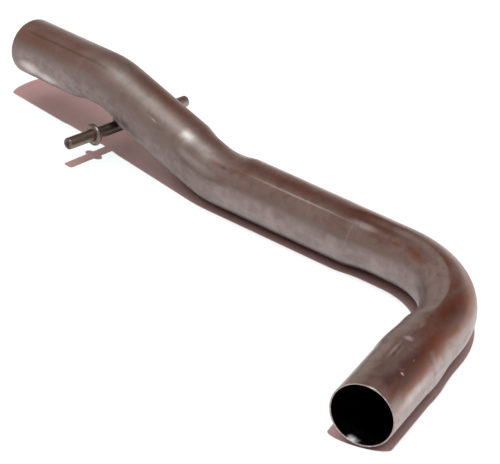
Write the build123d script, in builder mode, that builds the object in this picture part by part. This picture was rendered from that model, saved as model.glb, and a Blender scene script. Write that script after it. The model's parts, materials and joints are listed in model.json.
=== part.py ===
"""An exhaust pipe: one press-bent steel tube with a hanger rod welded under it. Millimetres, +Z up.

The pipe lies as it comes to rest on a flat floor, z = 0: on its long run and on the lip of its socket.
The long run lies along X, the socket opens towards -Y and the plain end hangs clear of the floor at -X.
The origin is on the floor, under the middle of the whole pipe.
"""
from build123d import *

from math import asin, cos, degrees, pi, radians, sin, tan
import os

# Tube: two and a quarter inch exhaust tube
TUBE_OD = 57.2
WALL = 1.5

# Runs of the tube, from corner to corner of its centreline
PLAIN_RUN = 138.5
RAISED_RUN = 168.0
LONG_RUN = 321.0

# Directions of the runs, in degrees: turns in plan from the long run, and slopes from the floor
PLAIN_TURN = 7.2
PLAIN_RISE = 4.3
RAISED_TURN = 6.0
RAISED_FALL = 12.3
SOCKET_TURN = 71.8

# Centreline radius of each bend
CREST_RADIUS = 95.0
KICK_RADIUS = 95.0
CORNER_RADIUS = 119.0

# The press die crushes the inner side of each bend: it pinches the tube to a narrower round and pushes
# it in. The mark reaches past the arc by the overlap and the run-out, and sits off the arc's middle by
# the shift, towards the plain end
SMALL_PINCH = 3.6
SMALL_DEPTH = 2.3
SMALL_OVERLAP = 9.5
SMALL_RUN_OUT = 22.0
SMALL_SHIFT = 4.0
CORNER_PINCH = 3.0
CORNER_DEPTH = 3.8
CORNER_OVERLAP = 6.0
CORNER_RUN_OUT = 32.0
CORNER_SHIFT = 19.0
RUN_OUT_SHAPE = 1.3

# Half-angles from the inner side: the die holds the tube to the first and lets it go at the second
GRIP_ANGLE = 78.0
FREE_ANGLE = 99.0

# Socket: this end is stretched to slip over the next pipe, keeps a lip where the stretch stops, and
# tapers down to the tube a short neck away from the corner's mark
SOCKET_DEPTH = 82.0
SOCKET_CLEARANCE = 0.2
LIP_HEIGHT = 0.6
LIP_RAMP = 6.0
LIP_WIDTH = 8.0
SOCKET_TAPER = 40.0
SOCKET_NECK = 2.3

# Hanger: a round rod across the underside of the raised run, with a stop collar for each rubber
ROD_DIAMETER = 12.0
ROD_LENGTH = 159.0
ROD_TURN = 88.2
ROD_DROOP = 2.5
ROD_FROM_CREST = 24.0
ROD_OFFSET = 6.0
ROD_CHAMFER = 0.8
COLLAR_DIAMETER = 22.6
COLLAR_THICKNESS = 5.5
COLLAR_CHAMFER = 1.7
COLLAR_FROM_TIP = 34.0
COLLAR_SEAT = 0.3

# Filler metal between the rod and the tube
WELD_ROOT_GAP = 1.6
WELD_LENGTH = 23.0
WELD_WIDTH = 13.0
WELD_PAST_MIDDLE = 1.5
WELD_OVER_SEAT = 6.0
WELD_FLARE = 10.0
WELD_ROUNDING = 2.0

# Places of the sections along a mark's run-out, as shares of it
FADE_STEPS = (0.0, 0.15, 0.38, 0.68, 1.0)

TUBE_RADIUS = TUBE_OD / 2
ROD_RADIUS = ROD_DIAMETER / 2
SOCKET_RADIUS = TUBE_RADIUS + SOCKET_CLEARANCE + WALL
LIP_RADIUS = SOCKET_RADIUS + LIP_HEIGHT
LIP_END = SOCKET_DEPTH + LIP_RAMP + LIP_WIDTH
TAPER_END = LIP_END + SOCKET_TAPER
CORNER_SETBACK = CORNER_RADIUS * tan(radians(SOCKET_TURN / 2))
SOCKET_RUN = CORNER_SETBACK + CORNER_OVERLAP + CORNER_RUN_OUT - CORNER_SHIFT + SOCKET_NECK + TAPER_END


def direction(turn, rise):
    """Unit direction turned in plan from +X, anticlockwise, and raised from the floor."""
    return Vector(1, 0, 0).rotate(Axis.Y, -rise).rotate(Axis.Z, turn)


# The long run lies on the floor, and the socket's run rises until its lip lies on the floor as well
socket_rise = degrees(asin((LIP_RADIUS - TUBE_RADIUS) / (SOCKET_RUN - LIP_END)))
plain_way = direction(-PLAIN_TURN, PLAIN_RISE)
raised_way = direction(-RAISED_TURN, -RAISED_FALL)
long_way = direction(0, 0)
socket_way = direction(-SOCKET_TURN, socket_rise)

# Corners of the centreline, counted from the corner of the large bend
corner = Vector(0, 0, TUBE_RADIUS)
kick = corner - long_way * LONG_RUN
crest = kick - raised_way * RAISED_RUN
plain_end = crest - plain_way * PLAIN_RUN
mouth = corner + socket_way * SOCKET_RUN


class Bend:
    """A press bend: an arc between two runs, with the mark of the die along its inner side."""

    def __init__(self, at, way_in, way_out, radius, pinch, depth, overlap, run_out, shift):
        self.way_in = way_in
        self.way_out = way_out
        self.radius = radius
        self.pinch = pinch
        self.depth = depth
        self.run_out = run_out
        self.setback = radius * tan(radians(way_in.get_angle(way_out) / 2))
        self.turn = way_in.get_angle(way_out)
        self.arc = radius * radians(self.turn)
        self.lead_in = overlap + run_out + shift
        self.lead_out = overlap + run_out - shift
        self.length = self.lead_in + self.arc + self.lead_out
        self.start = at - way_in * (self.setback + self.lead_in)
        self.end = at + way_out * (self.setback + self.lead_out)
        across = way_in.cross(way_out)
        self.inward = across.cross(way_in).normalized()
        self.swing = Axis(Vector(0, 0, 0), across)
        self.centre = at - way_in * self.setback + self.inward * radius

    def plane_at(self, distance):
        """Plane across the tube at a distance along the mark, with X towards the crushed side."""
        if distance <= self.lead_in:
            return Plane(self.start + self.way_in * distance, self.inward, self.way_in)
        if distance >= self.length - self.lead_out:
            leaving = self.inward.rotate(self.swing, self.turn)
            return Plane(self.end - self.way_out * (self.length - distance), leaving, self.way_out)
        angle = degrees((distance - self.lead_in) / self.radius)
        inward = self.inward.rotate(self.swing, angle)
        return Plane(self.centre - inward * self.radius, inward, self.way_in.rotate(self.swing, angle))

    def grip_at(self, distance):
        """Share of the die's full pinch and depth at a distance along the mark."""
        inside = max(0.0, min(distance, self.length - distance))
        return sin(min(inside / self.run_out, 1.0) * pi / 2) ** RUN_OUT_SHAPE

    def fade_in(self):
        """Distances of the sections where the mark comes in."""
        return [self.run_out * step for step in FADE_STEPS]

    def fade_out(self):
        """Distances of the sections where the mark goes out."""
        return [self.length - distance for distance in reversed(self.fade_in())]


small_die = (SMALL_PINCH, SMALL_DEPTH, SMALL_OVERLAP, SMALL_RUN_OUT, SMALL_SHIFT)
corner_die = (CORNER_PINCH, CORNER_DEPTH, CORNER_OVERLAP, CORNER_RUN_OUT, CORNER_SHIFT)
crest_bend = Bend(crest, plain_way, raised_way, CREST_RADIUS, *small_die)
kick_bend = Bend(kick, raised_way, long_way, KICK_RADIUS, *small_die)
corner_bend = Bend(corner, long_way, socket_way, CORNER_RADIUS, *corner_die)


def outline(radius, pinch, depth):
    """Round outline whose side towards X is pinched and pushed in, with smooth shoulders."""
    gripped = radius - pinch
    centre = Vector(pinch - depth, 0)
    half = radians((FREE_ANGLE - GRIP_ANGLE) / 2)
    handle = 2 * sin(half) / (1 + 2 * cos(half))
    weight = (1 + 2 * cos(half)) / 3
    CenterArc(centre, gripped, -GRIP_ANGLE, 2 * GRIP_ANGLE)
    CenterArc((0, 0), radius, FREE_ANGLE, 360 - 2 * FREE_ANGLE)
    for side in (1, -1):
        spoke = Vector(gripped, 0).rotate(Axis.Z, side * GRIP_ANGLE)
        leave = centre + spoke
        arrive = Vector(radius, 0).rotate(Axis.Z, side * FREE_ANGLE)
        leave_handle = leave + spoke.rotate(Axis.Z, side * 90) * handle
        arrive_handle = arrive - arrive.rotate(Axis.Z, side * 90) * handle
        Bezier(leave, leave_handle, arrive_handle, arrive, weights=[1, weight, weight, 1])


def ease(start, end):
    """Two arcs that swing from one level line onto another without a corner."""
    middle = (Vector(*start) + Vector(*end)) / 2
    TangentArc(start, middle, tangent=(1, 0))
    TangentArc(end, middle, tangent=(-1, 0))


def straight(start, end, radius):
    """A round length of tube, filled, between two points."""
    with BuildPart() as length_of_tube:
        with BuildSketch(Plane(start, z_dir=end - start)):
            Circle(radius)
        extrude(amount=(end - start).length)
    return length_of_tube.part


def section(bend, distance, radius):
    """The tube's filled section at a distance along a bend's mark."""
    grip = bend.grip_at(distance)
    with BuildSketch(bend.plane_at(distance)) as slice_of_tube:
        with BuildLine():
            outline(radius, bend.pinch * grip, bend.depth * grip)
        make_face()
    return slice_of_tube.sketch


def crushed_bend(bend, radius):
    """A bend, filled: the mark fades in, holds along the straights and the arc between, and fades out."""
    hold_start = bend.run_out
    hold_end = bend.length - bend.run_out
    arc_start = max(hold_start, bend.lead_in)
    arc_end = min(hold_end, bend.length - bend.lead_out)
    with BuildPart() as arc_of_tube:
        for distances in (bend.fade_in(), bend.fade_out()):
            loft([section(bend, distance, radius) for distance in distances])
        for first, last in ((hold_start, arc_start), (arc_end, hold_end)):
            if last > first:
                extrude(section(bend, first, radius), amount=last - first)
        arc_angle = degrees((arc_end - arc_start) / bend.radius)
        arc_axis = Axis(bend.centre, bend.swing.direction)
        revolve(section(bend, arc_start, radius), axis=arc_axis, revolution_arc=arc_angle)
    return arc_of_tube.part


def socket_end(start, inset):
    """The stretched end, filled, turned about its own axis from the start to the mouth."""
    back = (mouth - start).length
    with BuildPart() as stretched:
        with BuildSketch(Plane(mouth, x_dir=-socket_way, z_dir=socket_way.cross(Vector(0, 0, 1)))):
            with BuildLine():
                level = SOCKET_RADIUS - inset
                lip = LIP_RADIUS - inset
                tube_level = TUBE_RADIUS - inset
                Polyline((0, level), (SOCKET_DEPTH, level), (SOCKET_DEPTH + LIP_RAMP, lip), (LIP_END, lip))
                ease((LIP_END, lip), (TAPER_END, tube_level))
                Polyline((TAPER_END, tube_level), (back, tube_level), (back, 0), (0, 0), (0, level))
            make_face()
        revolve(axis=Axis(mouth, socket_way))
    return stretched.part


def whole_run(inset):
    """The whole tube, filled, with its surface set in from the outside by the inset."""
    radius = TUBE_RADIUS - inset
    with BuildPart() as run:
        add(straight(plain_end, crest_bend.start, radius))
        add(crushed_bend(crest_bend, radius))
        add(straight(crest_bend.end, kick_bend.start, radius))
        add(crushed_bend(kick_bend, radius))
        add(straight(kick_bend.end, corner_bend.start, radius))
        add(crushed_bend(corner_bend, radius))
        add(socket_end(corner_bend.end, inset))
    return run.part


# Tube
outside = whole_run(0)

with BuildPart() as tube:
    add(outside)
    add(whole_run(WALL), mode=Mode.SUBTRACT)

# Where the rod crosses: the tube's surface is dented there, and the weld fills what is left to the rod
crossing = crest_bend.length - (crest_bend.setback + crest_bend.lead_out - ROD_FROM_CREST)
rod_way = direction(ROD_TURN, -ROD_DROOP)
down = rod_way.cross(raised_way).normalized()
dent = crest_bend.depth * crest_bend.grip_at(crossing)
seat = crest_bend.plane_at(crossing).origin + down * (TUBE_RADIUS - dent)
rod_middle = seat + down * (WELD_ROOT_GAP + ROD_RADIUS) + rod_way * ROD_OFFSET
near_tip = rod_middle - rod_way * (ROD_LENGTH / 2)
far_tip = rod_middle + rod_way * (ROD_LENGTH / 2)

near_seat = near_tip + rod_way * COLLAR_FROM_TIP
far_seat = far_tip - rod_way * COLLAR_FROM_TIP


def collar_band(centre, outer, inner):
    """A band as long as the collar's thickness, round the rod's line."""
    with BuildPart() as band:
        with BuildSketch(Plane(centre - rod_way * (COLLAR_THICKNESS / 2), z_dir=rod_way)):
            Circle(outer)
            Circle(inner, mode=Mode.SUBTRACT)
        extrude(amount=COLLAR_THICKNESS)
    return band.part


def collar(centre):
    """A thick ring with broken edges, crimped into the rod's seat."""
    with BuildPart() as ring:
        add(collar_band(centre, COLLAR_DIAMETER / 2, ROD_RADIUS - COLLAR_SEAT))
        chamfer(ring.edges().filter_by(GeomType.CIRCLE).group_by(SortBy.RADIUS)[-1], COLLAR_CHAMFER)
    return ring.part


with BuildPart() as hanger_rod:
    with BuildSketch(Plane(near_tip, z_dir=rod_way)):
        Circle(ROD_RADIUS)
    extrude(amount=ROD_LENGTH)
    chamfer(hanger_rod.faces().filter_by(GeomType.PLANE).edges(), ROD_CHAMFER)
    for place in (near_seat, far_seat):
        add(collar_band(place, ROD_DIAMETER, ROD_RADIUS - COLLAR_SEAT), mode=Mode.SUBTRACT)

with BuildPart() as near_collar:
    add(collar(near_seat))

with BuildPart() as far_collar:
    add(collar(far_seat))

# Weld: filler that widens from the rod's sides up to the tube, longer along the rod than across it
weld_depth = WELD_ROOT_GAP + ROD_RADIUS + WELD_PAST_MIDDLE
with BuildPart() as hanger_weld:
    with BuildSketch(Plane(seat + down * weld_depth, x_dir=rod_way, z_dir=-down)):
        SlotOverall(WELD_LENGTH, WELD_WIDTH)
    extrude(amount=weld_depth + WELD_OVER_SEAT, taper=-WELD_FLARE)
    fillet(hanger_weld.faces().sort_by(Axis(seat, down))[-1].edges(), WELD_ROUNDING)
    add(outside, mode=Mode.SUBTRACT)
    add(hanger_rod.part, mode=Mode.SUBTRACT)

# The origin goes to the floor under the middle of the whole pipe
pieces = {
    "tube": tube,
    "hanger_rod": hanger_rod,
    "near_collar": near_collar,
    "far_collar": far_collar,
    "hanger_weld": hanger_weld,
}
whole = Compound([piece.part for piece in pieces.values()]).bounding_box()
middle = whole.center()
to_origin = Location((-middle.X, -middle.Y, 0))

os.makedirs("parts", exist_ok=True)
for name, piece in pieces.items():
    piece.part.move(to_origin)
    piece.part.label = name
    export_step(piece.part, f"parts/{name}.step")

# Places of the mounts, for whoever fastens the pipe
for name, point, way in (
    ("mouth", mouth, socket_way),
    ("plain end", plain_end, -plain_way),
    ("near rod tip", near_tip, -rod_way),
    ("far rod tip", far_tip, rod_way),
    ("corner", corner, long_way),
    ("crest", crest, raised_way),
):
    place = to_origin.position + point
    print(name, [round(v, 2) for v in place], "towards", [round(v, 5) for v in way])
print("size", whole.size, "lowest", round(whole.min.Z, 3))
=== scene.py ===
"""A press-bent steel exhaust pipe with its hanger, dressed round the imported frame, and its stage."""

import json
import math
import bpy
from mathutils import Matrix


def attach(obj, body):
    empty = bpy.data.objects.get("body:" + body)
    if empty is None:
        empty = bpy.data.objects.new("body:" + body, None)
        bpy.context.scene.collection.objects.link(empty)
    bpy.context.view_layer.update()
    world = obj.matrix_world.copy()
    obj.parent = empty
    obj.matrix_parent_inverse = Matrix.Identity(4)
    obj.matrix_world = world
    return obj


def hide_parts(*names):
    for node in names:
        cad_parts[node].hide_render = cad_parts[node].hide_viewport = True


bl_info = {
    "name": "Bent Exhaust Pipe",
    "version": (1, 0, 0),
    "blender": (4, 5, 0),
    "location": "View3D > Sidebar > Pipe",
    "description": "Models a press-bent steel exhaust pipe, its hanger and the stage for its picture",
    "category": "Add Mesh",
}

import bmesh
import bpy
from bpy.props import FloatProperty, FloatVectorProperty, IntProperty, PointerProperty
from mathutils import Matrix, Quaternion, Vector

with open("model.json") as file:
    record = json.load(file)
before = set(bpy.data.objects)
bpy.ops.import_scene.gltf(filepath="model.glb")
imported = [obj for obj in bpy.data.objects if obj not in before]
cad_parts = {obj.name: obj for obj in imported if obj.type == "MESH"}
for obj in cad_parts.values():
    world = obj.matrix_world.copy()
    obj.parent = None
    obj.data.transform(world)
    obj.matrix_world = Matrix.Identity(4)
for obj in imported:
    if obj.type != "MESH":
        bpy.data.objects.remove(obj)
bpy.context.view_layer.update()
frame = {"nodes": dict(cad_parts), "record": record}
MOUNTS = {mount["name"]: mount for mount in frame["record"]["mounts"]}
MM = 0.001
UP = Vector((0, 0, 1))

# Edges that turn by more than this are rounded, and points nearer than this are one
SHARP_EDGE = math.radians(30)
SAME_POINT = 0.001 * MM

# How sharply the die's mark sets in along the tube
GRIP_EASE = 1.3

# Rounding of the tube's cut ends, and how many of the outside's rings each ring of the bore stands for
CUT_EDGE = 0.35 * MM
BORE_RINGS = 3

# How far a stop ring bites into the rod, and the weld's place along the rod, as a share of its length
STOP_BITE = 0.1 * MM
WELD_SHARE = 0.42

# Distance from a patch's middle at which it ends, and within which it is whole, in half-widths
PATCH_END = 1.0
PATCH_WHOLE = 0.15

# Numbers of the colour sockets of a Mix node
MIX_UNDER = 6
MIX_OVER = 7
MIX_RESULT = 2

# Share of the open room above the floor at which the floor is darkest, and at which it is clear
FLOOR_CLOSED = 0.05
FLOOR_OPEN = 0.5

# The room that the metal mirrors, by height from the horizon, 0, to overhead, 1
ROOM_SHADES = (
    (0.0, (0.80, 0.76, 0.75)),
    (0.10, (0.52, 0.44, 0.41)),
    (0.35, (0.54, 0.44, 0.40)),
    (0.60, (0.49, 0.36, 0.315)),
    (0.80, (0.42, 0.30, 0.26)),
    (1.0, (0.38, 0.27, 0.235)),
)

# How directly a ray has to head for the wall to start seeing it, and to see it whole
WALL_START = 0.70
WALL_WHOLE = 0.86

# How fast the overhead light falls off towards the horizon
OVERHEAD_FALL = 2.0


def direction(turn, rise):
    """Unit direction turned in plan from +X, anticlockwise, and raised from the floor, in radians."""
    return Vector((math.cos(turn) * math.cos(rise), math.sin(turn) * math.cos(rise), math.sin(rise)))


def length(name, millimetres, words):
    """A length that the user may change."""
    return FloatProperty(name=name, description=words, default=millimetres * MM, unit="LENGTH")


def angle(name, degrees, words):
    """An angle that the user may change."""
    return FloatProperty(name=name, description=words, default=math.radians(degrees), subtype="ANGLE")


def colour(name, default, words):
    """A colour that the user may change."""
    return FloatVectorProperty(name=name, description=words, default=default, subtype="COLOR", min=0, max=1)


class PipeSizes(bpy.types.PropertyGroup):
    """Sizes of the tube"""

    radius: length("Tube radius", 28.6, "Outside radius of the tube")
    wall: length("Wall", 1.5, "Thickness of the tube's wall")
    plain_run: length("Plain run", 138.5, "From the plain end to the crest")
    raised_run: length("Raised run", 168.0, "From the crest to the kick")
    long_run: length("Long run", 321.0, "From the kick to the corner")
    socket_run: length("Socket run", 243.44, "From the corner to the mouth")
    plain_turn: angle("Plain turn", -7.2, "Plan angle of the plain run")
    plain_rise: angle("Plain rise", 4.3, "Slope of the plain run")
    raised_turn: angle("Raised turn", -6.0, "Plan angle of the raised run")
    raised_rise: angle("Raised rise", -12.3, "Slope of the raised run")
    crest_radius: length("Crest radius", 95.0, "Centreline radius of the crest bend")
    kick_radius: length("Kick radius", 95.0, "Centreline radius of the kick bend")
    corner_radius: length("Corner radius", 119.0, "Centreline radius of the corner bend")
    small_pinch: length("Small pinch", 3.6, "How much the die narrows the tube in the two small bends")
    small_depth: length("Small depth", 2.3, "How far the die pushes the tube in, in the two small bends")
    small_overlap: length("Small overlap", 9.5, "Full mark beyond each small bend")
    small_run_out: length("Small run-out", 22.0, "Length over which a small bend's mark fades")
    small_shift: length("Small shift", 4.0, "How far a small bend's mark sits towards the plain end")
    corner_pinch: length("Corner pinch", 3.0, "How much the die narrows the tube in the corner")
    corner_depth: length("Corner depth", 3.8, "How far the die pushes the tube in, in the corner")
    corner_overlap: length("Corner overlap", 6.0, "Full mark beyond the corner bend")
    corner_run_out: length("Corner run-out", 32.0, "Length over which the corner's mark fades")
    corner_shift: length("Corner shift", 19.0, "How far the corner's mark sits towards the plain end")
    grip: angle("Grip angle", 78.0, "Half-angle that the die grips whole")
    free: angle("Free angle", 99.0, "Half-angle at which the tube is free again")
    socket_depth: length("Socket depth", 82.0, "Length stretched to slip over a pipe")
    socket_swell: length("Socket swell", 1.7, "Stretch of the socket's radius")
    lip_height: length("Lip height", 0.6, "Height of the lip over the socket")
    lip_ramp: length("Lip ramp", 6.0, "Length of the rise to the lip")
    lip_width: length("Lip width", 8.0, "Length of the lip's top")
    taper: length("Taper", 40.0, "Length of the fall from the lip to the tube")
    ring_step: length("Ring spacing", 2.5, "Distance between the tube's rings")
    segments: IntProperty(name="Segments", description="Faces round the tube", default=128, min=24)


class HangerSizes(bpy.types.PropertyGroup):
    """Sizes of the rod and its stop rings"""

    rod_radius: length("Rod radius", 6.0, "Radius of the rod")
    tip_reach: length("Tip reach", 16.0, "From the middle of each rubber's place to the rod's tip")
    tip_chamfer: length("Tip chamfer", 0.8, "Chamfer at each tip")
    stop_radius: length("Stop radius", 11.3, "Outside radius of a stop ring")
    stop_width: length("Stop width", 5.5, "Width of a stop ring")
    stop_chamfer: length("Stop chamfer", 1.7, "Chamfer of a stop ring's edges")
    stop_place: length("Stop place", 34.0, "From the tip to the middle of its stop ring")
    softening: length("Softening", 0.35, "Rounding of the corners that the chamfers leave")
    segments: IntProperty(name="Segments", description="Faces round the rod", default=64, min=16)


class SteelColours(bpy.types.PropertyGroup):
    """Colours of the steel and of what stains it"""

    steel: colour("Steel", (0.37, 0.315, 0.305), "Satin steel of the tube")
    dull: colour("Dull steel", (0.27, 0.22, 0.20), "Darker bands of the tube's steel")
    # Painted shade: the colour that darkens the tube's lower side
    shaded: colour("Lower side", (0.195, 0.162, 0.153), "Duller steel of the tube's lower side")
    bright: colour("Bright steel", (0.62, 0.57, 0.56), "Rubbed and cut edges")
    # Also the colour of a painted reflection of brown surroundings on the tube's tops
    tarnish_and_brown_reflection: colour("Tarnish", (0.26, 0.125, 0.085), "Brown tarnish")
    rust: colour("Rust", (0.25, 0.075, 0.035), "Orange-brown rust film")
    # Also darkens mottles in the painted shade of the tube's lower side
    bloom_and_shade: colour("Bloom", (0.13, 0.10, 0.115), "Blue-black heat bloom")
    # Also the colour of painted highlights, a painted glint and a painted reflection of the floor
    scuff_and_highlight: colour("Scuff", (0.80, 0.76, 0.75), "Fresh pale scuffs")
    bore: colour("Bore", (0.045, 0.043, 0.042), "Steel inside the tube")
    rod: colour("Rod", (0.22, 0.175, 0.145), "Dark steel of the rod")
    stop: colour("Stop ring", (0.20, 0.17, 0.15), "Dull steel of the stop rings")
    weld: colour("Weld", (0.10, 0.085, 0.08), "Weld metal")


class StageSizes(bpy.types.PropertyGroup):
    """Camera, lamp and floor"""

    camera_place: FloatVectorProperty(
        name="Camera",
        description="Where the camera stands",
        default=(1.7784, -1.7887, 1.3968),
        subtype="TRANSLATION",
    )
    camera_way: FloatVectorProperty(
        name="View",
        description="Which way the camera looks",
        default=(-0.60953, 0.63083, -0.48013),
        subtype="DIRECTION",
    )
    camera_roll: angle("Roll", 0.25, "Turn of the camera about its view")
    lens: FloatProperty(name="Lens", description="Focal length in millimetres", default=220.1)
    sensor: FloatProperty(name="Sensor", description="Width of the sensor in millimetres", default=36.0)
    shift: FloatProperty(name="Shift", description="Shift of the frame upwards", default=-0.0008)
    sight: FloatProperty(name="Sight", description="How far the camera sees", default=60.0, unit="LENGTH")
    lamp_way: FloatVectorProperty(
        name="Towards the lamp",
        description="Direction from the object to the lamp",
        default=(0.25737, -0.22727, 0.93921),
        subtype="DIRECTION",
    )
    lamp_strength: FloatProperty(name="Lamp strength", description="Strength of the lamp", default=2.85)
    lamp_colour: colour("Lamp colour", (0.84, 0.99, 1.0), "Colour of the lamp")
    lamp_spread: angle("Lamp size", 1.5, "Angle that the lamp covers")
    floor_size: FloatProperty(name="Floor", description="Side of the floor", default=24.0, unit="LENGTH")
    floor_colour: colour("Floor colour", (0.95, 0.95, 0.95), "Colour of the open floor")
    # Painted contact shadow: the floor's colour close under the pipe
    contact_shade_colour: colour("Nook colour", (0.42, 0.25, 0.23), "Colour of the floor close under the pipe")
    contact_shade_reach: length("Nook reach", 26.0, "How near the pipe has to be to shade the floor closely")
    wall_way: FloatVectorProperty(
        name="Towards the wall",
        description="Direction of the dark wall that the metal mirrors",
        default=(-0.10, 0.56, 0.82),
        subtype="DIRECTION",
    )
    wall_colour: colour("Wall colour", (0.28, 0.155, 0.13), "Colour of the wall")
    overhead_light: FloatVectorProperty(
        name="Overhead light",
        description="Light that falls from overhead on all that scatters it",
        default=(1.08, 0.66, 0.63),
        subtype="COLOR",
        min=0,
    )


class Bend:
    """An arc between two runs, with the mark of the die along its inner side."""

    def __init__(self, way_in, way_out, radius, pinch, depth, overlap, run_out, shift):
        self.radius = radius
        self.pinch = pinch
        self.depth = depth
        self.run_out = run_out
        self.turn = way_in.angle(way_out)
        self.setback = radius * math.tan(self.turn / 2)
        self.arc = radius * self.turn
        self.axis = way_in.cross(way_out).normalized()
        self.inward = self.axis.cross(way_in).normalized()
        self.lead_in = overlap + run_out + shift
        self.lead_out = overlap + run_out - shift
        self.start = 0.0

    def grip_at(self, distance):
        """Share of the die's full mark at a distance along the tube."""
        inside = min(distance - self.start + self.lead_in, self.start + self.arc + self.lead_out - distance)
        return math.sin(min(max(inside / self.run_out, 0.0), 1.0) * math.pi / 2) ** GRIP_EASE

    def side_at(self, distance):
        """Crushed side of the tube at a distance along it."""
        turned = min(max(distance - self.start, 0.0), self.arc) / self.radius
        return Matrix.Rotation(turned, 3, self.axis) @ self.inward


class Path:
    """The tube's centreline, from the plain end to the mouth."""

    def __init__(self, sizes):
        self.sizes = sizes
        s = sizes
        self.lip_end = s.socket_depth + s.lip_ramp + s.lip_width
        socket = MOUNTS["socket"]
        mouth_way = Vector(socket["axis"]).normalized()
        mouth = Vector(socket["pos_m"]) + mouth_way * (socket["dims"]["length_mm"] * MM / 2)
        plain_way = direction(s.plain_turn, s.plain_rise)
        raised_way = direction(s.raised_turn, s.raised_rise)
        ways = [plain_way, raised_way, direction(0, 0), mouth_way]
        runs = [s.plain_run, s.raised_run, s.long_run, s.socket_run]
        small_die = (s.small_pinch, s.small_depth, s.small_overlap, s.small_run_out, s.small_shift)
        corner_die = (s.corner_pinch, s.corner_depth, s.corner_overlap, s.corner_run_out, s.corner_shift)
        self.bends = [
            Bend(ways[0], ways[1], s.crest_radius, *small_die),
            Bend(ways[1], ways[2], s.kick_radius, *small_die),
            Bend(ways[2], ways[3], s.corner_radius, *corner_die),
        ]
        point = mouth - sum((way * run for way, run in zip(ways, runs)), Vector())
        last = len(runs) - 1
        self.spans = []
        at = 0.0
        behind = 0.0
        for i, (way, run) in enumerate(zip(ways, runs)):
            ahead = self.bends[i].setback if i < last else 0.0
            straight = run - behind - ahead
            self.spans.append((at, at + straight, point.copy(), way, None))
            point += way * straight
            at += straight
            if i < last:
                bend = self.bends[i]
                self.spans.append((at, at + bend.arc, point.copy(), way, bend))
                bend.start = at
                point += way * bend.setback + ways[i + 1] * bend.setback
                at += bend.arc
                behind = bend.setback
        self.length = at

    def place(self, distance):
        """Centre and direction of the tube at a distance along it."""
        for start, end, point, way, bend in self.spans:
            if distance <= end or end == self.length:
                break
        along = distance - start
        if bend is None:
            return point + way * along, way
        turned = Matrix.Rotation(along / bend.radius, 3, bend.axis)
        spoke = turned @ (-bend.inward * bend.radius)
        return point + bend.inward * bend.radius + spoke, turned @ way

    def bend_at(self, distance):
        """The bend whose mark reaches a distance along the tube, or None."""
        for bend in self.bends:
            if bend.grip_at(distance) > 0:
                return bend
        return None

    def swell(self, distance):
        """How far the socket's end is stretched, at a distance along the tube."""
        s = self.sizes
        back = self.length - distance
        lip = s.socket_swell + s.lip_height
        knots = (
            (0.0, s.socket_swell),
            (s.socket_depth, s.socket_swell),
            (s.socket_depth + s.lip_ramp, lip),
            (self.lip_end, lip),
            (self.lip_end + s.taper, 0.0),
        )
        for (a, low), (b, high) in zip(knots, knots[1:]):
            if back <= b:
                share = (back - a) / (b - a)
                return low + (high - low) * (3 * share**2 - 2 * share**3)
        return 0.0


def section_point(turned, radius, pinch, depth, grip, free):
    """Point of the section at an angle from the crushed side, towards that side and across it."""
    size = abs(turned)
    gripped = radius - pinch
    centre = Vector((pinch - depth, 0))
    if size <= grip:
        flat = centre + Vector((math.cos(size), math.sin(size))) * gripped
    elif size >= free:
        flat = Vector((math.cos(size), math.sin(size))) * radius
    else:
        half = (free - grip) / 2
        handle = 2 * math.sin(half) / (1 + 2 * math.cos(half))
        leave = centre + Vector((math.cos(grip), math.sin(grip))) * gripped
        arrive = Vector((math.cos(free), math.sin(free))) * radius
        a = leave + Vector((-math.sin(grip), math.cos(grip))) * gripped * handle
        b = arrive - Vector((-math.sin(free), math.cos(free))) * radius * handle
        t = (size - grip) / (free - grip)
        flat = leave * (1 - t) ** 3 + a * (3 * t * (1 - t) ** 2) + b * (3 * t**2 * (1 - t)) + arrive * t**3
    return Vector((flat.x, math.copysign(flat.y, turned)))


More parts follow.
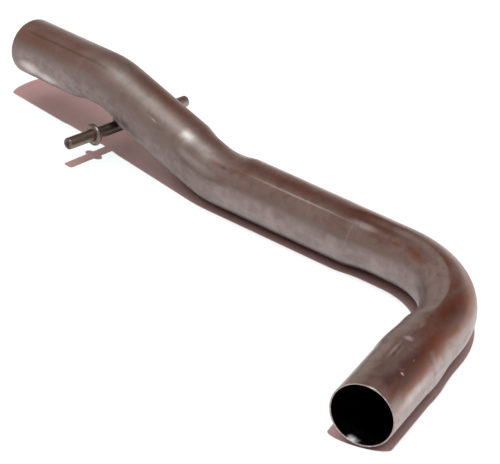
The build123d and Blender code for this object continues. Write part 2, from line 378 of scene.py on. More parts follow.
class Layer:
    """Lays the rings of the tube one after another, each drawn out of the last."""

    def __init__(self, mesh, path):
        self.mesh = mesh
        self.path = path
        self.straight = mesh.verts.layers.float_vector.new("straight")
        made = bmesh.ops.create_circle(mesh, segments=path.sizes.segments, radius=1.0)
        self.ring = made["verts"]
        self.first = list(mesh.edges)
        self.edges = list(mesh.edges)

    def shape(self, distance, inset):
        """Puts the open ring on the tube's surface, set in by the inset."""
        path = self.path
        sizes = path.sizes
        centre, way = path.place(distance)
        up = (UP - way * way.dot(UP)).normalized()
        side = way.cross(up)
        radius = sizes.radius + path.swell(distance) - inset
        bend = path.bend_at(distance)
        grip = bend.grip_at(distance) if bend else 0.0
        crushed = bend.side_at(distance) if bend else up
        lean = math.atan2(crushed.dot(side), crushed.dot(up))
        pinch = bend.pinch * grip if bend else 0.0
        depth = bend.depth * grip if bend else 0.0
        across = up * math.cos(lean) + side * math.sin(lean)
        beside = side * math.cos(lean) - up * math.sin(lean)
        for i, vert in enumerate(self.ring):
            around = 2 * math.pi * i / len(self.ring)
            turned = (around - lean + math.pi) % (2 * math.pi) - math.pi
            point = section_point(turned, radius, pinch, depth, sizes.grip, sizes.free)
            vert.co = centre + across * point.x + beside * point.y
            vert[self.straight] = (distance, math.sin(around) * radius, math.cos(around) * radius)

    def draw(self, distance, inset, material):
        """Extrudes the open ring to a new place."""
        made = bmesh.ops.extrude_edge_only(self.mesh, edges=self.edges)["geom"]
        verts = {item for item in made if isinstance(item, bmesh.types.BMVert)}
        edges = [item for item in made if isinstance(item, bmesh.types.BMEdge)]
        self.edges = [edge for edge in edges if set(edge.verts) <= verts]
        for item in made:
            if isinstance(item, bmesh.types.BMFace):
                item.material_index = material
        self.ring = [
            next(edge.other_vert(vert) for edge in vert.link_edges if edge.other_vert(vert) in verts)
            for vert in self.ring
        ]
        self.shape(distance, inset)

    def unroll(self):
        """Lays a UV map over the tube: U runs along it and V round it."""
        along = self.mesh.loops.layers.uv.new("along")
        for face in self.mesh.faces:
            around = [math.atan2(v[self.straight].y, v[self.straight].z) / (2 * math.pi) for v in face.verts]
            split = max(around) - min(around) > 0.5
            for loop, share in zip(face.loops, around):
                loop[along].uv = (loop.vert[self.straight].x, share + 1 if split and share < 0 else share)


def turned_round(mesh, profile, start, way, segments):
    """Spins a profile of points (along, radius) round a line, and notes where each point is along it."""
    out = way.orthogonal().normalized()
    verts = [mesh.verts.new(start + way * along + out * radius) for along, radius in profile]
    edges = [mesh.edges.new(pair) for pair in zip(verts, verts[1:])]
    bmesh.ops.spin(
        mesh,
        geom=verts + edges,
        cent=start,
        axis=way,
        angle=2 * math.pi,
        steps=segments,
        use_merge=True,
    )
    bmesh.ops.remove_doubles(mesh, verts=mesh.verts, dist=SAME_POINT)
    bmesh.ops.recalc_face_normals(mesh, faces=mesh.faces)


def soften(mesh, width, sharper_than):
    """Rounds each edge whose faces meet at more than an angle."""
    sharp = [edge for edge in mesh.edges if edge.is_manifold and edge.calc_face_angle() > sharper_than]
    bmesh.ops.bevel(
        mesh,
        geom=sharp,
        offset=width,
        segments=3,
        profile=0.5,
        affect="EDGES",
        clamp_overlap=True,
        material=-1,
    )


def note_places(mesh, start, way):
    """Notes each point's place along a rod's line and across it, for its finish to follow."""
    straight = mesh.verts.layers.float_vector.new("straight")
    out = way.orthogonal().normalized()
    side = way.cross(out)
    for vert in mesh.verts:
        offset = vert.co - start
        vert[straight] = (offset.dot(way), offset.dot(side), offset.dot(out))


def finish_piece(mesh, name, materials, replaced=()):
    """Turns a bmesh into an object that rides on the pipe."""
    for face in mesh.faces:
        face.smooth = True
    data = bpy.data.meshes.new(name)
    mesh.to_mesh(data)
    mesh.free()
    for material in materials:
        data.materials.append(material)
    piece = bpy.data.objects.new(name, data)
    bpy.context.scene.collection.objects.link(piece)
    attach(piece, "root")
    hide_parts(*replaced)
    return piece


class Finish:
    """One metal finish, built up of stains, wear and relief over its base colour."""

    def __init__(self, name, base, roughness, grain=0.0, follows="straight"):
        self.material = bpy.data.materials.new(name)
        self.material.use_nodes = True
        self.tree = self.material.node_tree
        self.shader = self.tree.nodes["Principled BSDF"]
        self.shader.inputs["Metallic"].default_value = 1.0
        self.shader.inputs["Anisotropic"].default_value = grain
        if grain:
            tangent = self.tree.nodes.new("ShaderNodeTangent")
            tangent.direction_type = "UV_MAP"
            tangent.uv_map = "along"
            self.tree.links.new(tangent.outputs[0], self.shader.inputs["Tangent"])
        if follows == "straight":
            place = self.tree.nodes.new("ShaderNodeAttribute")
            place.attribute_name = "straight"
            self.place = place.outputs["Vector"]
        else:
            self.place = self.tree.nodes.new("ShaderNodeTexCoord").outputs["Object"]
        self.base = (*base, 1.0)
        self.roughness = roughness
        self.metal = 1.0
        self.height = 0.0

    def give(self, socket, value):
        """Links a socket's output, or sets a number or colour."""
        if isinstance(value, bpy.types.NodeSocket):
            self.tree.links.new(value, socket)
        else:
            socket.default_value = value

    def math(self, operation, first, second=0.0):
        """One sum on two values."""
        node = self.tree.nodes.new("ShaderNodeMath")
        node.operation = operation
        self.give(node.inputs[0], first)
        self.give(node.inputs[1], second)
        return node.outputs[0]

    def fade(self, value, none, full):
        """A smooth step from 0 where the value is none to 1 where it is full."""
        node = self.tree.nodes.new("ShaderNodeMapRange")
        node.interpolation_type = "SMOOTHSTEP"
        self.give(node.inputs["Value"], value)
        self.give(node.inputs["From Min"], none)
        self.give(node.inputs["From Max"], full)
        return node.outputs["Result"]

    def grain(self, along, across, detail=3.0, warp=0.0):
        """A noise whose grains are this long along the piece and this wide across it, from 0 to 1."""
        scaled = self.tree.nodes.new("ShaderNodeMapping")
        scaled.inputs["Scale"].default_value = (1 / along, 1 / across, 1 / across)
        self.give(scaled.inputs["Vector"], self.place)
        node = self.tree.nodes.new("ShaderNodeTexNoise")
        node.inputs["Scale"].default_value = 1.0
        node.inputs["Detail"].default_value = detail
        node.inputs["Distortion"].default_value = warp
        self.give(node.inputs["Vector"], scaled.outputs[0])
        return node.outputs[0]

    def patch(self, centre, along, across, ragged, break_up=0.8):
        """A patch about a place, 1 at its middle and 0 outside, with its edge broken up by a noise."""
        offset = self.tree.nodes.new("ShaderNodeVectorMath")
        offset.operation = "SUBTRACT"
        self.give(offset.inputs[0], self.place)
        offset.inputs[1].default_value = centre
        scaled = self.tree.nodes.new("ShaderNodeVectorMath")
        scaled.operation = "MULTIPLY"
        self.give(scaled.inputs[0], offset.outputs[0])
        scaled.inputs[1].default_value = (1 / along, 1 / across, 1 / across)
        size = self.tree.nodes.new("ShaderNodeVectorMath")
        size.operation = "LENGTH"
        self.give(size.inputs[0], scaled.outputs[0])
        broken = self.math("MULTIPLY", self.math("SUBTRACT", ragged, 0.5), break_up)
        return self.fade(self.math("ADD", size.outputs["Value"], broken), PATCH_END, PATCH_WHOLE)

    def stain(self, mask, tint, strength=1.0):
        """Lays a colour over the base where the mask is."""
        node = self.tree.nodes.new("ShaderNodeMix")
        node.data_type = "RGBA"
        self.give(node.inputs[0], self.math("MULTIPLY", mask, strength))
        self.give(node.inputs[MIX_UNDER], self.base)
        node.inputs[MIX_OVER].default_value = (*tint, 1.0)
        self.base = node.outputs[MIX_RESULT]

    def roughen(self, mask, amount):
        """Adds to the roughness where the mask is."""
        self.roughness = self.math("ADD", self.roughness, self.math("MULTIPLY", mask, amount))

    def chalk(self, mask, amount):
        """Makes the surface scatter light like a scratched or dusty one where the mask is."""
        self.metal = self.math("SUBTRACT", self.metal, self.math("MULTIPLY", mask, amount))

    def lift(self, mask, millimetres):
        """Raises the surface where the mask is."""
        self.height = self.math("ADD", self.height, self.math("MULTIPLY", mask, millimetres * MM))

    def done(self):
        """Joins what was built to the shader, and returns the material."""
        self.give(self.shader.inputs["Base Color"], self.base)
        self.give(self.shader.inputs["Roughness"], self.roughness)
        self.give(self.shader.inputs["Metallic"], self.metal)
        if isinstance(self.height, bpy.types.NodeSocket):
            bump = self.tree.nodes.new("ShaderNodeBump")
            bump.inputs["Distance"].default_value = 1.0
            self.give(bump.inputs["Height"], self.height)
            self.give(self.shader.inputs["Normal"], bump.outputs[0])
        return self.material


class Marks:
    """Stains, scuffs and painted shade, highlights and reflections on the tube, each at its distance from
    the mouth and its angle from the top.
    """

    def __init__(self, finish, path):
        self.finish = finish
        self.path = path
        # Two noises, each with how far it breaks up the edge of a mark
        self.cloudy = (finish.grain(16 * MM, 9 * MM, 4.0), 1.1)
        self.frayed = (finish.grain(2.5 * MM, 1.6 * MM, 3.0), 0.5)
        place = finish.tree.nodes.new("ShaderNodeSeparateXYZ")
        finish.give(place.inputs[0], finish.place)
        self.distance = place.outputs["X"]
        self.turned = finish.math("ARCTAN2", place.outputs["Y"], place.outputs["Z"])

    def at(self, back, turned, along, across, fine=False):
        """The mask of one mark: lengths in millimetres, the angle in degrees towards the camera's side."""
        radius = self.path.sizes.radius
        around = math.radians(turned)
        centre = (self.path.length - back * MM, math.sin(around) * radius, math.cos(around) * radius)
        ragged = self.frayed if fine else self.cloudy
        return self.finish.patch(centre, along * MM, across * MM, *ragged)

    def stretch(self, first, last, soft):
        """The mask of a stretch of the tube between two distances from the mouth, in millimetres."""
        start = (self.path.length - last * MM, self.path.length - (last - soft) * MM)
        end = (self.path.length - first * MM, self.path.length - (first + soft) * MM)
        come = self.finish.fade(self.distance, *start)
        go = self.finish.fade(self.distance, *end)
        return self.finish.math("MULTIPLY", come, go)

    def side(self, none, full, last_full, last_none):
        """The mask of a side of the tube, between angles from the top in degrees, fading at both edges."""
        come = self.finish.fade(self.turned, math.radians(none), math.radians(full))
        go = self.finish.fade(self.turned, math.radians(last_none), math.radians(last_full))
        return self.finish.math("MULTIPLY", come, go)

    def lay(self, places, tint, fine=False):
        """Stains the tube at each of the places."""
        for back, turned, along, across, strength in places:
            self.finish.stain(self.at(back, turned, along, across, fine), tint, strength)

    def scratch_and_highlight(self, place, tint, strength, chalk):
        """Makes the steel pale and matt at a place: real scratches, and also painted highlights."""
        scratch_and_highlight_mask = self.at(*place, fine=True)
        self.finish.stain(scratch_and_highlight_mask, tint, strength)
        self.finish.chalk(scratch_and_highlight_mask, chalk)


# The brown on the top of each run, and on the outer flank of the corner and the socket, partly a real film
# and partly a painted reflection of brown surroundings:
# first and last distance from the mouth and fade in millimetres, side in degrees from the top, strength
BROWN_FILM_AND_REFLECTION = (
    (690, 870, 40, (-20, 6, 48, 62), 0.55),
    (520, 700, 40, (-60, -35, -4, 24), 0.45),
    (290, 545, 40, (-50, -30, 22, 30), 0.4),
    (80, 270, 30, (-80, -60, -9, -4), 1.0),
    (8, 110, 30, (-78, -62, -34, -22), 1.0),
)

# The places below give the distance from the mouth in millimetres, the angle from the top in degrees,
# half the length and half the width in millimetres, and the strength
TARNISHED = (
    (530, 37, 18, 5, 0.5),
    (497, 34, 20, 7, 0.5),
    (311, 37, 26, 6, 0.5),
    (272, 29, 44, 9, 0.6),
    (140, -40, 64, 18, 0.5),
    (30, -46, 44, 14, 0.5),
)

# Rust in the middle of the brown
RUSTED = (
    (272, 28, 18, 5, 0.5),
    (300, 34, 16, 3, 0.4),
    (154, -24, 24, 8, 0.6),
    (170, -34, 30, 9, 0.35),
    (108, -44, 34, 10, 0.7),
    (74, -46, 30, 8, 0.65),
    (15, -45, 18, 7, 0.6),
    (640, -6, 40, 5, 0.25),
    (440, 8, 50, 5, 0.25),
    (350, 2, 50, 5, 0.25),
    (790, 10, 40, 6, 0.25),
)

# Bloom on the socket and the corner, soot where the rod is welded, and a dark spot at the kick
BLACKENED = (
    (26, -27, 22, 8, 0.6),
    (58, -30, 22, 7, 0.5),
    (50, -47, 50, 10, 0.5),
    (160, -42, 30, 9, 0.3),
    (218, 68, 24, 7, 0.7),
    (669, 104, 12, 6, 0.6),
    (653, 100, 10, 7, 0.8),
    (640, 109, 9, 6, 0.5),
    (521, 40, 8, 4, 0.6),
)

# Scuffs on the raised run and along the far flank of the socket, and near the plain end a painted reflection
# of the lit floor on the underside
SCUFFS_AND_FLOOR_REFLECTION = (
    (621, 47, 7, 1.2, 0.5),
    (817, 105, 24, 10, 0.55),
    (790, 114, 22, 9, 0.5),
    (40, -78, 46, 7, 0.35),
)

# Streaks that the expander's segments rubbed along the top of the socket, and at 88 mm a painted highlight
# on the lip
EXPANDER_STREAKS_AND_LIP_HIGHLIGHT = (
    (70, 13, 22, 2.0, 0.3),
    (66, 0, 26, 2.6, 0.6),
    (64, -10, 24, 2.2, 0.5),
    (88, -7, 5, 7, 0.35),
    (112, -9, 18, 3.0, 0.2),
)

# Grooves between the expander's segments, without a strength
EXPANDER_GROOVES = (
    (64, -5, 30, 2.4),
    (64, 5, 30, 2.4),
)

# Pale specks scratched through the film on the socket, without a strength
PALE_SPECKS = (
    (46.0, -34, 5.0, 2.1),
    (43.0, -30, 3.0, 2.2),
    (40.5, -38, 2.6, 3.2),
    (65.3, -37.5, 4.2, 2.2),
    (62.0, -32, 2.8, 2.0),
    (58.5, -27, 2.4, 2.0),
    (87.0, -27, 5.0, 2.4),
    (84.0, -33, 3.0, 1.9),
)

# The faint line that the edge of the die left round the long run, a painted highlight along that run, and a
# painted highlight where it meets the corner, without a strength
DIE_LINE = (352, 52, 1.2, 17)
PAINTED_HIGHLIGHT_LINE = (420, 31, 92, 1.5)
PAINTED_KINK_HIGHLIGHT = (340, 25, 20, 5.5)

# A painted glint inside the bottom of the mouth, without a strength
PAINTED_BORE_GLINT = (2, 163, 8, 7)


def lay_mill_steel(steel, marks, colours, clouds):
    """Bands round the tube, clouds, drawing lines along it, a painted shade down the camera's side, and a
    painted shade on the lower side, mottled and rougher.
    """
    bands = steel.grain(15 * MM, 50 * MM, 3.0, 0.5)
    steel.stain(steel.fade(bands, 0.46, 0.72), colours.dull, 0.5)
    steel.stain(steel.fade(bands, 0.48, 0.26), colours.bright, 0.14)
    streaks = steel.grain(2.6 * MM, 34 * MM, 3.0, 0.3)
    steel.stain(steel.fade(streaks, 0.5, 0.75), colours.dull, 0.2)
    steel.stain(steel.fade(clouds, 0.5, 0.72), colours.tarnish_and_brown_reflection, 0.3)
    cells = steel.grain(11 * MM, 8 * MM, 4.0, 0.4)
    steel.stain(steel.fade(cells, 0.48, 0.66), colours.dull, 0.7)
    lines = steel.grain(90 * MM, 0.9 * MM, 2.0)
    steel.stain(steel.fade(lines, 0.55, 0.8), colours.dull, 0.25)
    pepper = steel.grain(1.6 * MM, 1.1 * MM, 2.0)
    steel.stain(steel.fade(pepper, 0.68, 0.8), colours.dull, 0.5)
    steel.stain(marks.stretch(512, 880, 40), colours.dull, 0.35)
    # Painted shade: a darker band down the camera's side of the tube, from about 44 to 96 degrees from the
    # top
    steel.stain(marks.side(44, 58, 76, 96), colours.dull, 0.35)
    # Painted shade: the tube's lower side is darker, broken into lighter and darker mottles and smears
    lower_shade_mask = marks.side(52, 80, 150, 175)
    steel.stain(lower_shade_mask, colours.shaded, 0.75)
    lighter_shade_mottles = steel.math("MULTIPLY", lower_shade_mask, steel.fade(cells, 0.47, 0.64))
    steel.stain(lighter_shade_mottles, colours.steel, 0.32)
    darker_shade_mottles = steel.math("MULTIPLY", lower_shade_mask, steel.fade(cells, 0.46, 0.32))
    steel.stain(darker_shade_mottles, colours.bloom_and_shade, 0.25)
    lighter_shade_smears = steel.math("MULTIPLY", lower_shade_mask, steel.fade(bands, 0.5, 0.68))
    steel.stain(lighter_shade_smears, colours.steel, 0.28)
    steel.roughen(lower_shade_mask, 0.12)
    steel.roughen(steel.fade(clouds, 0.4, 0.7), 0.05)
    steel.roughen(marks.stretch(512, 760, 30), 0.15)
    steel.roughen(marks.stretch(352, 500, 12), -0.05)
    steel.roughen(marks.stretch(300, 385, 20), -0.08)
    steel.lift(bands, 0.05)
    steel.lift(lines, 0.012)
    steel.lift(clouds, 0.15)


def lay_brown_film_and_reflection(steel, marks, colours, clouds):
    """A thin brown film that is partly a painted reflection of brown surroundings, uneven with the clouds,
    and the dark line drawn along the plain run.
    """
    uneven = steel.math("ADD", steel.math("MULTIPLY", steel.fade(clouds, 0.35, 0.62), 0.5), 0.5)
    for first, last, soft, angles, strength in BROWN_FILM_AND_REFLECTION:
        # Partly a real brown film and partly a painted reflection of brown surroundings
        film_and_reflection = steel.math("MULTIPLY", marks.stretch(first, last, soft), marks.side(*angles))
        steel.stain(steel.math("MULTIPLY", film_and_reflection, uneven), colours.tarnish_and_brown_reflection, strength)
    drawn = steel.math("MULTIPLY", marks.stretch(690, 850, 30), marks.side(26, 30, 31, 36))
    steel.stain(drawn, colours.weld, 0.4)


def lay_wear_and_highlights(steel, marks, colours):
    """Scuffs and a painted reflection of the floor near the plain end, the expander's marks and a painted
    highlight on the socket's lip, pale specks, the die's line on the long run, and painted highlights along
    that run and where it meets the corner.
    """
    # Scuffs, and near the plain end a painted reflection of the lit floor on the underside
    marks.lay(SCUFFS_AND_FLOOR_REFLECTION, colours.scuff_and_highlight, fine=True)
    # The expander's streaks, and at 88 mm from the mouth a painted highlight on the lip
    for *place, strength in EXPANDER_STREAKS_AND_LIP_HIGHLIGHT:
        marks.scratch_and_highlight(place, colours.scuff_and_highlight, strength, strength)
    for place in EXPANDER_GROOVES:
        groove = marks.at(*place, fine=True)
        steel.stain(groove, colours.bloom_and_shade, 0.9)
        steel.lift(groove, -0.3)
    for place in PALE_SPECKS:
        marks.scratch_and_highlight(place, colours.scuff_and_highlight, 1.0, 0.8)
    steel.stain(marks.at(*DIE_LINE, fine=True), colours.scuff_and_highlight, 0.18)
    # A painted highlight along the long run, and another where it meets the corner
    marks.scratch_and_highlight(PAINTED_HIGHLIGHT_LINE, colours.scuff_and_highlight, 0.4, 0.15)
    marks.scratch_and_highlight(PAINTED_KINK_HIGHLIGHT, colours.scuff_and_highlight, 0.45, 0.12)


def tube_finish(path, colours):
    """Satin mill steel with brown marks of handling and heat, a painted shade on its lower side, and painted
    highlights and reflections.
    """
    steel = Finish("satin_tube_steel", colours.steel, 0.33, grain=0.35)
    marks = Marks(steel, path)
    clouds = steel.grain(48 * MM, 20 * MM, 3.0, 0.8)
    lay_mill_steel(steel, marks, colours, clouds)
    lay_brown_film_and_reflection(steel, marks, colours, clouds)
    marks.lay(TARNISHED, colours.tarnish_and_brown_reflection)
    marks.lay(RUSTED, colours.rust)
    marks.lay(BLACKENED, colours.bloom_and_shade)
    lay_wear_and_highlights(steel, marks, colours)
    return steel.done()


def bore_finish(path, colours):
    """Dark scaly steel inside the tube, with a painted glint at the bottom of the mouth."""
    bore = Finish("dark_bore_steel", colours.bore, 0.26)
    scale = bore.grain(9 * MM, 9 * MM, 4.0)
    bore.stain(bore.fade(scale, 0.5, 0.75), colours.tarnish_and_brown_reflection, 0.12)
    bore.roughen(bore.fade(scale, 0.4, 0.7), 0.10)
    bore.lift(scale, 0.06)
    # A painted glint inside the bottom of the mouth
    bore_glint_mask = Marks(bore, path).at(*PAINTED_BORE_GLINT)
    bore.stain(bore_glint_mask, colours.scuff_and_highlight, 1.0)
    bore.chalk(bore_glint_mask, 0.75)
    return bore.done()


def rim_finish(colours):
    """Bright cut steel at the tube's two ends."""
    rim = Finish("cut_rim_steel", colours.steel, 0.34)
    burr = rim.grain(0.6 * MM, 2.2 * MM, 3.0)
    rim.stain(rim.fade(burr, 0.5, 0.75), colours.bore, 0.6)
    rim.stain(rim.fade(burr, 0.42, 0.3), colours.bright, 0.8)
    rim.lift(burr, 0.05)
    return rim.done()


def rod_finish(colours, reach):
    """Dark drawn rod with paler drawing lines, brown scale and a sheared tip."""
    rod = Finish("dark_drawn_rod", colours.rod, 0.36)
    lines = rod.grain(60 * MM, 1.1 * MM, 2.0)
    rod.stain(rod.fade(lines, 0.5, 0.8), colours.bright, 0.22)
    scale = rod.grain(8 * MM, 5 * MM, 4.0)
    rod.stain(rod.fade(scale, 0.52, 0.75), colours.tarnish_and_brown_reflection, 0.4)
    rod.roughen(rod.fade(scale, 0.45, 0.7), 0.12)
    rod.lift(lines, 0.02)
    rod.lift(scale, 0.05)
    soot = rod.patch((0.0, 0.0, 0.0), 2.2 * MM, 8 * MM, scale)
    rod.stain(soot, colours.bore, 1.0)
    rubbed = rod.patch((reach, 0.0, 0.0), 40 * MM, 30 * MM, scale)
    rod.stain(rubbed, colours.steel, 0.7)
    heat = rod.patch((reach * WELD_SHARE, 0.0, 0.0), 32 * MM, 24 * MM, scale)
    rod.stain(heat, colours.weld, 0.75)
    return rod.done()


def stop_finish(colours):
    """Dull plated steel of the stop rings, rubbed along their rims."""
    stop = Finish("dull_stop_steel", colours.stop, 0.38)
    grime = stop.grain(2.4 * MM, 3.0 * MM, 4.0)
    stop.stain(stop.fade(grime, 0.5, 0.75), colours.tarnish_and_brown_reflection, 0.45)
    stop.stain(stop.fade(grime, 0.42, 0.25), colours.bright, 0.35)
    stop.roughen(stop.fade(grime, 0.45, 0.7), 0.15)
    stop.lift(grime, 0.06)
    return stop.done()


def weld_finish(colours):
    """Rippled dark weld metal."""
    weld = Finish("rippled_weld_metal", colours.weld, 0.42, follows="object")
    ripples = weld.grain(1.6 * MM, 4.0 * MM, 2.0, 0.8)
    weld.stain(weld.fade(ripples, 0.5, 0.75), colours.bright, 0.25)
    soot = weld.grain(5 * MM, 5 * MM, 3.0)
    weld.stain(weld.fade(soot, 0.5, 0.7), colours.tarnish_and_brown_reflection, 0.4)
    weld.lift(ripples, 0.25)
    return weld.done()


class PIPE_OT_tube(bpy.types.Operator):
    """Draw the bent tube, with its crushed bends and its stretched socket"""

    bl_idname = "pipe.tube"
    bl_label = "Tube"

    def execute(self, context):
        sizes = context.scene.pipe_sizes
        colours = context.scene.pipe_colours
        path = Path(sizes)
        mesh = bmesh.new()
        layer = Layer(mesh, path)
        wall = sizes.wall
        rim = ((0.0, CUT_EDGE), (0.3 * CUT_EDGE, 0.3 * CUT_EDGE), (CUT_EDGE, 0.0))
        count = round(path.length / sizes.ring_step)
        rings = [path.length * i / count for i in range(1, count)]
        outside, inside, cut = range(3)
        layer.shape(*rim[0])
        for back, inset in rim[1:]:
            layer.draw(back, inset, cut)
        for distance in rings:
            layer.draw(distance, 0.0, outside)
        layer.draw(path.length - rim[-1][0], rim[-1][1], outside)
        for back, inset in reversed(rim[:-1]):
            layer.draw(path.length - back, inset, cut)
        for back, inset in rim:
            layer.draw(path.length - back, wall - inset, cut)
        for distance in reversed(rings[::BORE_RINGS]):
            layer.draw(distance, wall, inside)
        layer.draw(rim[-1][0], wall - rim[-1][1], inside)
        for back, inset in reversed(rim[:-1]):
            layer.draw(back, wall - inset, cut)
        end = bmesh.ops.bridge_loops(mesh, edges=layer.first + layer.edges)
        for face in end["faces"]:
            face.material_index = cut
        bmesh.ops.recalc_face_normals(mesh, faces=mesh.faces)
        layer.unroll()
        materials = [tube_finish(path, colours), bore_finish(path, colours), rim_finish(colours)]
        finish_piece(mesh, "bent_tube", materials, ["tube"])
        return {"FINISHED"}


class PIPE_OT_hanger(bpy.types.Operator):
    """Turn the hanger rod and its two stop rings, and finish the weld"""

    bl_idname = "pipe.hanger"
    bl_label = "Hanger"

    def execute(self, context):
        sizes = context.scene.pipe_hanger
        colours = context.scene.pipe_colours
        near, far = MOUNTS["near_rod_tip"], MOUNTS["far_rod_tip"]
        way = Vector(far["axis"]).normalized()
        start = Vector(near["pos_m"]) - way * sizes.tip_reach
        end = Vector(far["pos_m"]) + way * sizes.tip_reach
        reach = (end - start).length
        self.rod(sizes, colours, start, way, reach)
        stop = stop_finish(colours)
        self.stop(sizes, stop, "near_stop_ring", "near_collar", start + way * sizes.stop_place, way)
        self.stop(sizes, stop, "far_stop_ring", "far_collar", end - way * sizes.stop_place, way)
        self.weld(colours)
        return {"FINISHED"}

    def rod(self, sizes, colours, start, way, reach):
        """Turns the rod, chamfered at both tips."""
        mesh = bmesh.new()
        radius = sizes.rod_radius
        chamfer = sizes.tip_chamfer
        profile = [(0, 0), (0, radius - chamfer), (chamfer, radius)]
        profile += [(reach - chamfer, radius), (reach, radius - chamfer), (reach, 0)]
        turned_round(mesh, profile, start, way, sizes.segments)
        soften(mesh, sizes.softening, SHARP_EDGE)
        note_places(mesh, start, way)
        finish_piece(mesh, "rubber_rod", [rod_finish(colours, reach)], ["hanger_rod"])

    def stop(self, sizes, material, name, node, middle, way):
        """Turns one stop ring about its middle on the rod."""
        mesh = bmesh.new()
        bore = sizes.rod_radius - STOP_BITE
        outer = sizes.stop_radius
        width = sizes.stop_width
        chamfer = sizes.stop_chamfer
        profile = [(0, bore), (0, outer - chamfer), (chamfer, outer), (width - chamfer, outer)]
        profile += [(width, outer - chamfer), (width, bore), (0, bore)]
        turned_round(mesh, profile, middle - way * (width / 2), way, sizes.segments)
        soften(mesh, sizes.softening * 2, SHARP_EDGE)
        note_places(mesh, middle, way)
        finish_piece(mesh, name, [material], [node])

    def weld(self, colours):
        """Gives the frame's own weld its finish."""
        bead = frame["nodes"]["hanger_weld"]
        bead.data.materials.clear()
        bead.data.materials.append(weld_finish(colours))


class PIPE_OT_stage(bpy.types.Operator):
    """Set the floor, the lamp, the room and the camera"""

    bl_idname = "pipe.stage"
    bl_label = "Stage"

    def execute(self, context):
        stage = context.scene.pipe_stage
        self.floor(stage)
        self.lamp(stage)
        self.room(context, stage)
        self.camera(context, stage)
        context.scene.view_settings.view_transform = "Standard"
        return {"FINISHED"}

    def floor(self, stage):
        """A wide, flat, pale floor under the pipe."""
        mesh = bmesh.new()
        bmesh.ops.create_grid(mesh, x_segments=1, y_segments=1, size=stage.floor_size / 2)
        data = bpy.data.meshes.new("floor")
        mesh.to_mesh(data)
        mesh.free()
        floor = bpy.data.objects.new("floor", data)
        bpy.context.scene.collection.objects.link(floor)
        data.materials.append(self.floor_finish(stage))

    def floor_finish(self, stage):
        """A matt pale finish whose colour darkens, as a painted contact shadow, where the pipe shades the
        floor closely.
        """
        material = bpy.data.materials.new("pale_floor")
        material.use_nodes = True
        nodes = material.node_tree.nodes
        links = material.node_tree.links
        shader = nodes["Principled BSDF"]
        shader.inputs["Roughness"].default_value = 1.0
        shader.inputs["Specular IOR Level"].default_value = 0.0
        # Painted contact shadow: the floor's colour darkens near the pipe by ambient occlusion
        near = nodes.new("ShaderNodeAmbientOcclusion")
        near.inputs["Distance"].default_value = stage.contact_shade_reach
        openness = nodes.new("ShaderNodeMapRange")
        openness.inputs["From Min"].default_value = FLOOR_CLOSED
        openness.inputs["From Max"].default_value = FLOOR_OPEN
        links.new(near.outputs["AO"], openness.inputs["Value"])
        shade = nodes.new("ShaderNodeMix")
        shade.data_type = "RGBA"
        shade.inputs[MIX_UNDER].default_value = (*stage.contact_shade_colour, 1)
        shade.inputs[MIX_OVER].default_value = (*stage.floor_colour, 1)
        links.new(openness.outputs["Result"], shade.inputs[0])
        links.new(shade.outputs[MIX_RESULT], shader.inputs["Base Color"])
        return material

    def lamp(self, stage):
        """One far lamp, above the camera's side of the pipe."""
        lamp = bpy.data.lights.new("lamp", "SUN")
        lamp.energy = stage.lamp_strength
        lamp.color = stage.lamp_colour
        lamp.angle = stage.lamp_spread
        holder = bpy.data.objects.new("lamp", lamp)
        holder.rotation_mode = "QUATERNION"
        holder.rotation_quaternion = Vector(stage.lamp_way).to_track_quat("Z", "Y")
        bpy.context.scene.collection.objects.link(holder)

    def room(self, context, stage):
        """The world: metal mirrors a warm room, and all that scatters light is lit from overhead."""
        world = bpy.data.worlds.new("room")
        world.use_nodes = True
        nodes = world.node_tree.nodes
        links = world.node_tree.links
        way = nodes.new("ShaderNodeTexCoord").outputs["Generated"]
        split = nodes.new("ShaderNodeSeparateXYZ")
        links.new(way, split.inputs[0])
        height = split.outputs["Z"]
        mirrored = nodes["Background"]
        links.new(self.room_colour(world.node_tree, way, height, stage), mirrored.inputs["Color"])
        overhead = nodes.new("ShaderNodeBackground")
        overhead.inputs["Color"].default_value = (*stage.overhead_light, 1)
        links.new(self.overhead_strength(world.node_tree, height), overhead.inputs["Strength"])
        ray = nodes.new("ShaderNodeLightPath")
        either = nodes.new("ShaderNodeMixShader")
        links.new(ray.outputs["Is Glossy Ray"], either.inputs[0])
        links.new(overhead.outputs[0], either.inputs[1])
        links.new(mirrored.outputs[0], either.inputs[2])
        links.new(either.outputs[0], nodes["World Output"].inputs["Surface"])
        context.scene.world = world

    def room_colour(self, tree, way, height, stage):
        """Pale at the horizon and duller overhead, with a dark brown wall leaning over the pipe."""
        ramp = tree.nodes.new("ShaderNodeValToRGB")
        tree.links.new(height, ramp.inputs[0])
        elements = ramp.color_ramp.elements
        for element, (place, shade) in zip(elements, (ROOM_SHADES[0], ROOM_SHADES[-1])):
            element.position = place
            element.color = (*shade, 1)
        for place, shade in ROOM_SHADES[1:-1]:
            element = elements.new(place)
            element.color = (*shade, 1)
        toward = tree.nodes.new("ShaderNodeVectorMath")
        toward.operation = "DOT_PRODUCT"
        toward.inputs[1].default_value = stage.wall_way
        tree.links.new(way, toward.inputs[0])
        wall = tree.nodes.new("ShaderNodeMapRange")
        wall.interpolation_type = "SMOOTHSTEP"
        wall.inputs["From Min"].default_value = WALL_START
        wall.inputs["From Max"].default_value = WALL_WHOLE
        tree.links.new(toward.outputs["Value"], wall.inputs["Value"])
        shaded = tree.nodes.new("ShaderNodeMix")
        shaded.data_type = "RGBA"
        tree.links.new(wall.outputs["Result"], shaded.inputs[0])
        tree.links.new(ramp.outputs[0], shaded.inputs[MIX_UNDER])
        shaded.inputs[MIX_OVER].default_value = (*stage.wall_colour, 1)
        return shaded.outputs[MIX_RESULT]

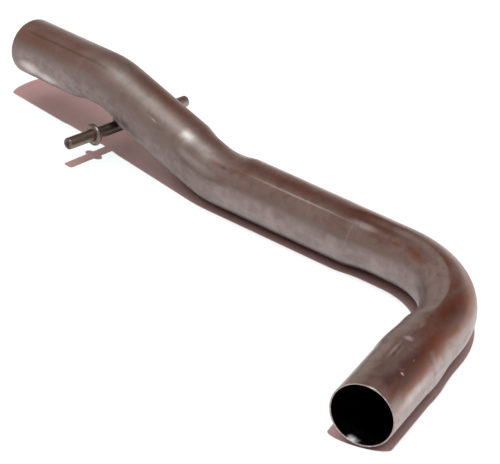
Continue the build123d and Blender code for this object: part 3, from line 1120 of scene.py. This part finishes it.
    def overhead_strength(self, tree, height):
        """Strongest straight up and none at the horizon, so that the shadow deepens under the pipe."""
        upward = tree.nodes.new("ShaderNodeMath")
        upward.operation = "MAXIMUM"
        upward.inputs[1].default_value = 0.0
        tree.links.new(height, upward.inputs[0])
        falling = tree.nodes.new("ShaderNodeMath")
        falling.operation = "POWER"
        falling.inputs[1].default_value = OVERHEAD_FALL
        tree.links.new(upward.outputs[0], falling.inputs[0])
        return falling.outputs[0]

    def camera(self, context, stage):
        """The camera at the photograph's viewing angle."""
        camera = bpy.data.cameras.new("camera")
        camera.lens = stage.lens
        camera.sensor_width = stage.sensor
        camera.clip_end = stage.sight
        camera.shift_y = stage.shift
        holder = bpy.data.objects.new("camera", camera)
        holder.rotation_mode = "QUATERNION"
        look = Vector(stage.camera_way).to_track_quat("-Z", "Y")
        holder.rotation_quaternion = look @ Quaternion((0, 0, 1), stage.camera_roll)
        holder.location = stage.camera_place
        context.scene.collection.objects.link(holder)
        context.scene.camera = holder


class PIPE_PT_panel(bpy.types.Panel):
    """The pipe's pieces and stage, in the 3D view's sidebar"""

    bl_label = "Bent Exhaust Pipe"
    bl_idname = "PIPE_PT_panel"
    bl_space_type = "VIEW_3D"
    bl_region_type = "UI"
    bl_category = "Pipe"

    def draw(self, context):
        layout = self.layout
        for operator in OPERATORS:
            layout.operator(operator.bl_idname)
        for name in SETTINGS:
            group = getattr(context.scene, name)
            box = layout.box()
            box.label(text=group.bl_rna.description)
            for item in group.__annotations__:
                box.prop(group, item)


OPERATORS = (PIPE_OT_stage, PIPE_OT_tube, PIPE_OT_hanger)
SETTINGS = {
    "pipe_sizes": PipeSizes,
    "pipe_hanger": HangerSizes,
    "pipe_colours": SteelColours,
    "pipe_stage": StageSizes,
}


def register():
    for item in (*SETTINGS.values(), *OPERATORS, PIPE_PT_panel):
        bpy.utils.register_class(item)
    for name, group in SETTINGS.items():
        setattr(bpy.types.Scene, name, PointerProperty(type=group))


def unregister():
    for name in SETTINGS:
        delattr(bpy.types.Scene, name)
    for item in (PIPE_PT_panel, *OPERATORS, *SETTINGS.values()):
        bpy.utils.unregister_class(item)


def main():
    register()
    bpy.ops.pipe.stage()
    bpy.ops.pipe.tube()
    bpy.ops.pipe.hanger()


if __name__ == "__main__":
    main()
